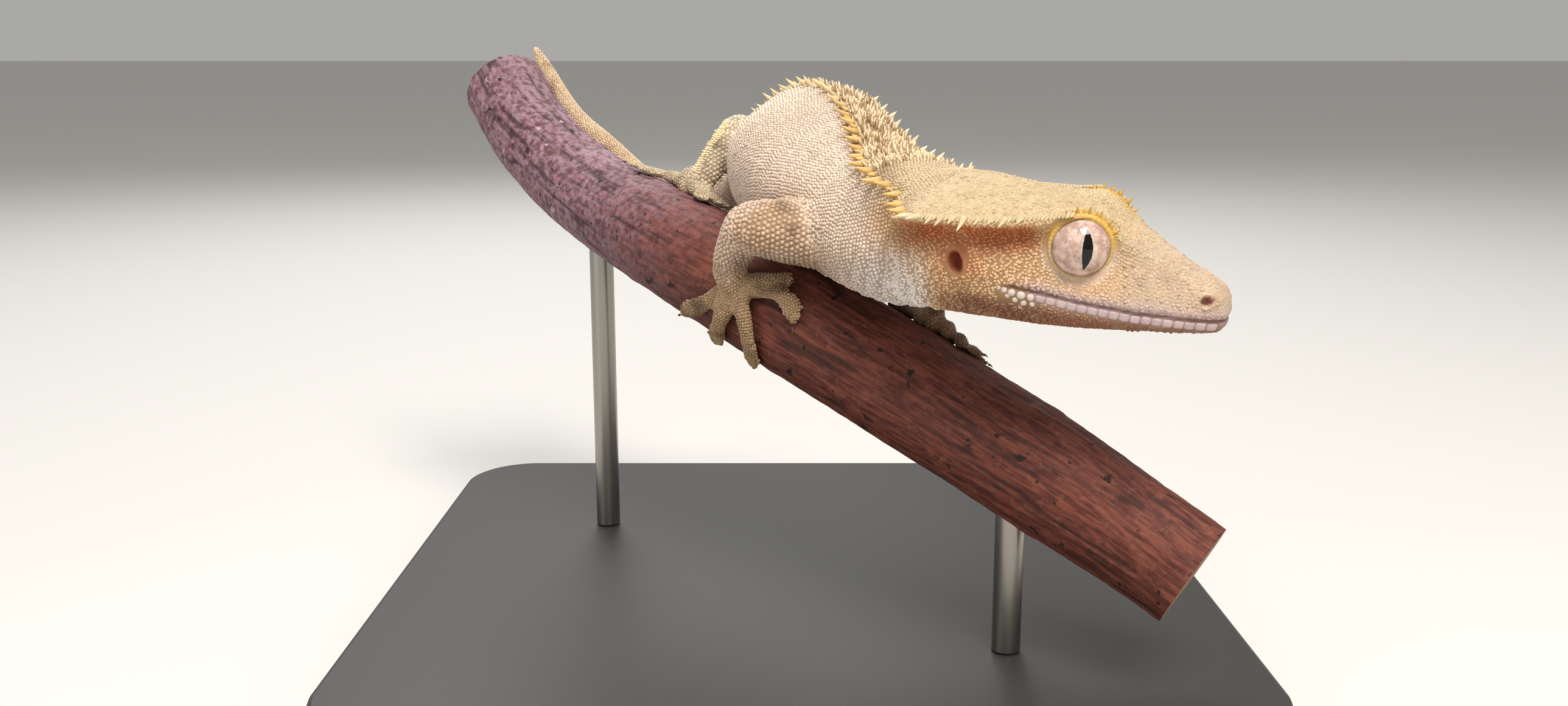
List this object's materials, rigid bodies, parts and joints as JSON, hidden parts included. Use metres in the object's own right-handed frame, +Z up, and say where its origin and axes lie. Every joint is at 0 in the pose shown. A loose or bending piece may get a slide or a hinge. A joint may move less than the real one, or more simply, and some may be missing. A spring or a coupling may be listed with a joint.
{
  "type": "crested gecko model",
  "caption": "Life-size crested gecko crouched along a short sloping branch, head level and turned to one side, held over a flat base by two thin rods",
  "frame": {"origin": "middle of the underside of the stand base, on the surface it rests on", "axes": "+X towards the side that the gecko's snout points to, along the longest side of the base; +Y away from the side that shows the gecko's right flank; +Z up"},
  "size_m": [0.126, 0.116, 0.0889],
  "materials": {
    "skin_head": "matt scaled skin",
    "skin_body": "matt scaled skin",
    "skin_leg": "matt scaled skin",
    "skin_tail": "matt scaled skin",
    "eye": "wet gloss",
    "bark": "dry bark",
    "base": "matt black",
    "rod": "satin"
  },
  "bodies": {
    "root": {"head": "skin_head", "jaw": "skin_head", "eye_left": "eye", "eye_right": "eye", "neck": "skin_body", "torso": "skin_body", "pelvis": "skin_body", "tail_base": "skin_tail", "tail_middle": "skin_tail", "tail_tip": "skin_tail", "perch": "bark", "stand_base": "base", "stand_rod_front": "rod", "stand_rod_back": "rod", "upper_arm_left": "skin_leg", "forearm_left": "skin_leg", "hand_left": "skin_leg", "thigh_left": "skin_leg", "shin_left": "skin_leg", "foot_left": "skin_leg", "upper_arm_right": "skin_leg", "forearm_right": "skin_leg", "hand_right": "skin_leg", "thigh_right": "skin_leg", "shin_right": "skin_leg", "foot_right": "skin_leg"}
  },
  "joints": []
}
